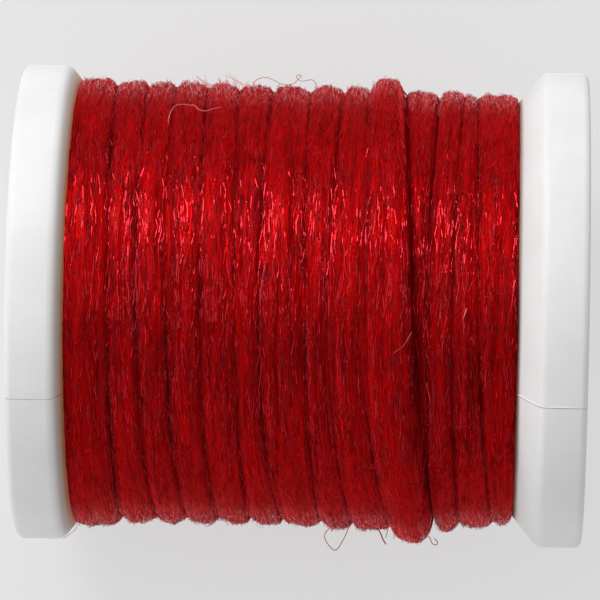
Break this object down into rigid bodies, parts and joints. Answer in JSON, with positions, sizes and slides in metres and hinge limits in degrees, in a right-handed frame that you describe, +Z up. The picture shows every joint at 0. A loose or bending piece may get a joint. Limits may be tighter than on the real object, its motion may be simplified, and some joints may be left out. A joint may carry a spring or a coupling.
{
  "type": "nylon yarn wound on a plastic spool",
  "caption": "Soft red nylon yarn wound side by side round a small white plastic spool with broad flanges, lying on its rims.",
  "frame": {"origin": "on the surface the spool rests on, under its middle", "axes": "+X along the spool's axis, +Z up, -Y towards the side where the slits are seen"},
  "size_m": [0.032, 0.027, 0.0269],
  "materials": {
    "spool_plastic": "white moulded plastic with a soft shine, a little see-through at its edges",
    "nylon_yarn": "bright red untwisted nylon filaments with fine glints and a slightly fuzzy surface"
  },
  "bodies": {
    "root": {"spool": "spool_plastic", "wound_yarn": "nylon_yarn"}
  },
  "joints": []
}
